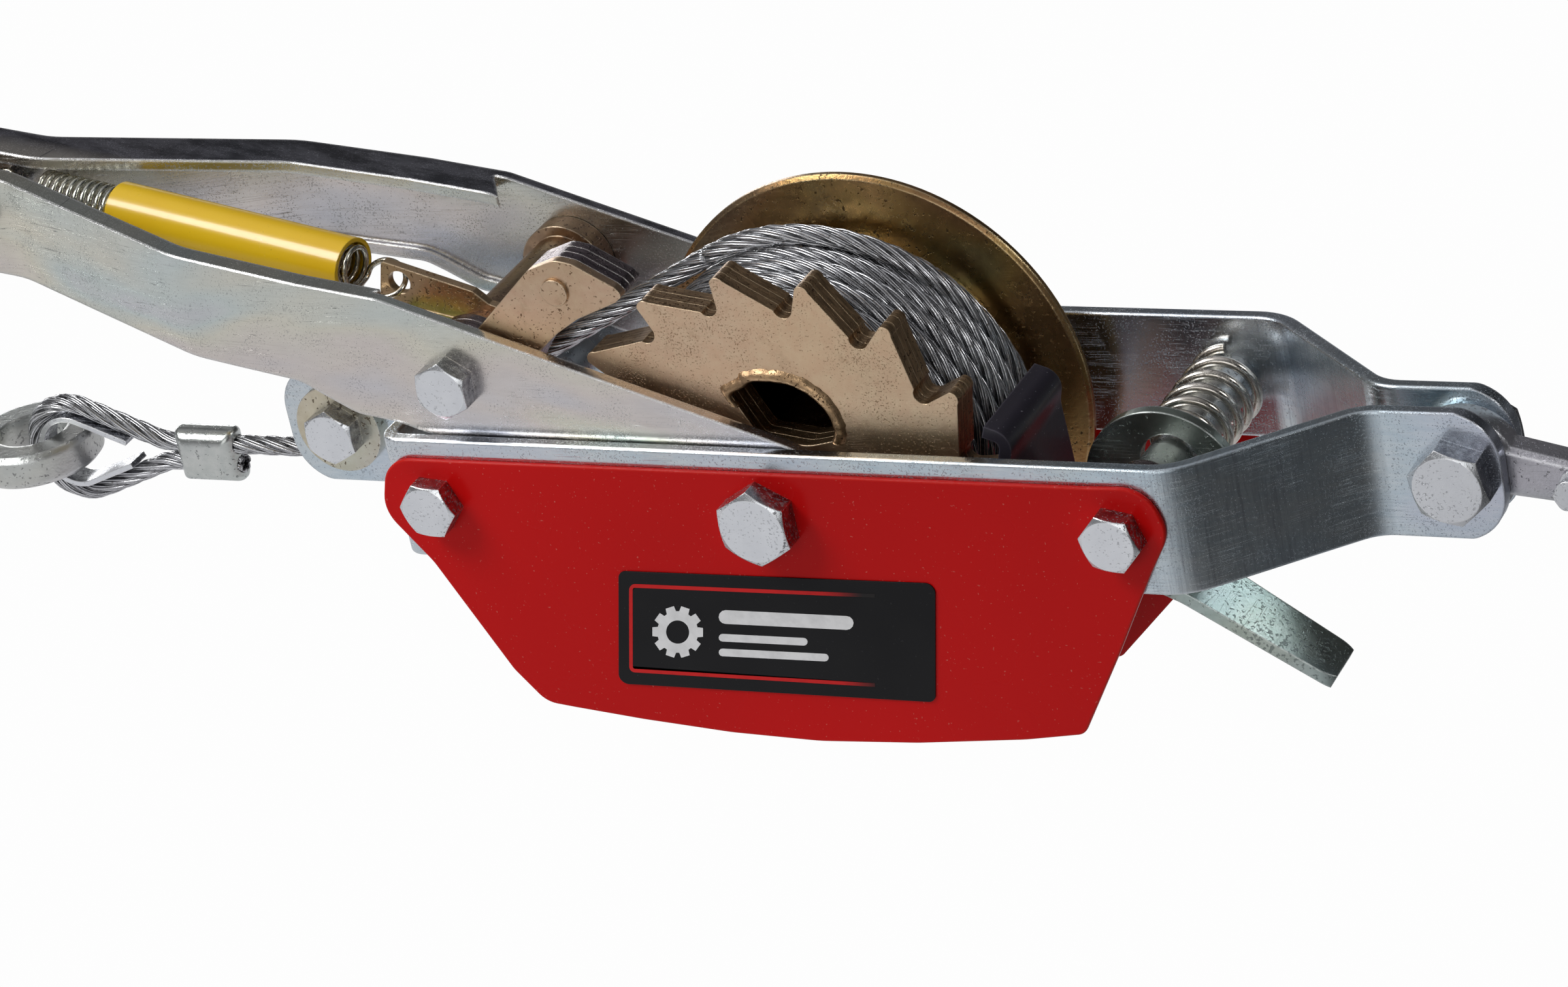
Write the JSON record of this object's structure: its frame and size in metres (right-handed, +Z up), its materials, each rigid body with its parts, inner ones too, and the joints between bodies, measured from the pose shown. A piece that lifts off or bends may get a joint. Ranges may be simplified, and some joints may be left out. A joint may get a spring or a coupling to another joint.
{
  "type": "come along winch",
  "caption": "Hand lever cable puller: a ratcheted rope drum in a flat steel frame, worked by a pawl lever, with a stop pawl, an anchor hook and a rope hook.",
  "frame": {"origin": "centre of the anchor hook's bowl, at the mid-plane between the two frame straps; the drum axle is at X = -0.212 m", "axes": "+X away from the drum through the anchor hook, +Y along the drum axle to the far strap, +Z up"},
  "size_m": [0.6393, 0.0986, 0.1651],
  "materials": {
    "frame_zinc": "zinc plated, lightly brushed",
    "guard_red": "glossy red enamel",
    "label_black": "gloss film",
    "bolt_zinc": "bright zinc",
    "tube_brown": "yellow-passivated zinc, worn",
    "yellow_zinc": "iridescent yellow-passivated zinc",
    "wire_rope": "galvanised strands",
    "cast_ferrule": "pressed",
    "spring_steel": "zinc plated wire",
    "wheel_tan": "yellow-passivated pressed steel",
    "bush_plastic": "self-lubricating",
    "handle_zinc": "zinc plated with faint iridescence",
    "grip_black": "matte moulded",
    "sleeve_yellow": "gloss",
    "pawl_dark": "pressed laminations, dark sheared edges",
    "carrier_zinc": "greenish zinc",
    "thumb_black": "black satin",
    "hook_steel": "forged, zinc plated"
  },
  "bodies": {
    "frame": {"frame_strap_near": "frame_zinc", "frame_strap_far": "frame_zinc", "guard_plate_near": "guard_red", "guard_plate_far": "guard_red", "guard_label": "label_black", "axle_bolt": "bolt_zinc", "axle_nut": "bolt_zinc", "corner_bolts": "bolt_zinc", "corner_nuts": "bolt_zinc", "axle_sleeve": "tube_brown", "spacer_tube": "tube_brown", "stop_pawl_sleeve": "tube_brown", "axle_spacers": "tube_brown", "guide_bolt": "bolt_zinc", "guide_washers": "yellow_zinc", "guide_nut": "bolt_zinc", "nose_bolt": "bolt_zinc", "nose_nut": "bolt_zinc", "rope_tail": "wire_rope", "rope_ferrule": "cast_ferrule", "rope_thimble": "bolt_zinc", "stop_pawl_spring": "spring_steel"},
    "drum": {"ratchet_plate_1": "wheel_tan", "ratchet_plate_2": "wheel_tan", "ratchet_plate_3": "wheel_tan", "drum_barrel": "tube_brown", "drum_hub": "tube_brown", "drum_bushes": "bush_plastic", "drum_flange": "yellow_zinc", "wound_rope": "wire_rope"},
    "handle": {"handle_arm_near": "handle_zinc", "handle_arm_far": "handle_zinc", "spring_anchor_pin": "bolt_zinc", "handle_rivet": "bolt_zinc", "handle_spacer": "tube_brown", "handle_grip": "grip_black", "pawl_pivot_bolt": "bolt_zinc", "pawl_pivot_nut": "bolt_zinc", "spring_sleeve": "sleeve_yellow", "return_spring": "spring_steel"},
    "drive_pawl": {"drive_pawl_bracket": "wheel_tan", "drive_pawl_plate_1": "pawl_dark", "drive_pawl_plate_2": "pawl_dark", "drive_pawl_plate_3": "pawl_dark", "drive_pawl_rivet": "wheel_tan", "drive_pawl_tube": "tube_brown"},
    "stop_pawl": {"stop_pawl_plate_1": "pawl_dark", "stop_pawl_plate_2": "pawl_dark", "stop_pawl_plate_3": "pawl_dark", "stop_pawl_carrier": "carrier_zinc", "stop_pawl_rivet": "bolt_zinc", "stop_pawl_thumb_plate": "thumb_black", "release_lever": "guard_red"},
    "guide_roller": {"guide_roller": "bolt_zinc"},
    "anchor_hook": {"anchor_hook": "hook_steel", "anchor_latch_rivet": "bolt_zinc"},
    "anchor_latch": {"anchor_latch": "bolt_zinc"},
    "rope_hook": {"rope_hook": "hook_steel", "rope_latch_rivet": "bolt_zinc"},
    "rope_latch": {"rope_latch": "bolt_zinc"}
  },
  "joints": [
    {"name": "drum_spin", "type": "hinge", "parent": "frame", "child": "drum", "pos_m": [-0.212, 0, 0], "axis": [0, 1, 0], "continuous": true},
    {"name": "handle_swing", "type": "hinge", "parent": "frame", "child": "handle", "pos_m": [-0.212, 0, 0], "axis": [0, 1, 0], "range_deg": [0, 90]},
    {"name": "drive_pawl_swing", "type": "hinge", "parent": "handle", "child": "drive_pawl", "pos_m": [-0.292, 0, 0.0295], "axis": [0, 1, 0], "range_deg": [-10, 11], "deforming": ["return_spring"]},
    {"name": "stop_pawl_swing", "type": "hinge", "parent": "frame", "child": "stop_pawl", "pos_m": [-0.1232, 0, 0], "axis": [0, 1, 0], "range_deg": [0, 9]},
    {"name": "guide_roller_spin", "type": "hinge", "parent": "frame", "child": "guide_roller", "pos_m": [-0.3464, 0.002, 0], "axis": [0, 1, 0], "continuous": true},
    {"name": "anchor_hook_swing", "type": "hinge", "parent": "frame", "child": "anchor_hook", "pos_m": [-0.054, 0, 0], "axis": [0, 1, 0], "range_deg": [-90, 90]},
    {"name": "anchor_latch_swing", "type": "hinge", "parent": "anchor_hook", "child": "anchor_latch", "pos_m": [-0.0285, 0, -0.004], "axis": [0, 1, 0], "range_deg": [0, 22]},
    {"name": "rope_hook_swing", "type": "hinge", "parent": "frame", "child": "rope_hook", "pos_m": [-0.434, 0.002, -0.0135], "axis": [0, 1, 0], "range_deg": [-40, 10]},
    {"name": "rope_latch_swing", "type": "hinge", "parent": "rope_hook", "child": "rope_latch", "pos_m": [-0.4731, -0.002, -0.0135], "axis": [0, 0, 1], "range_deg": [0, 22]}
  ]
}
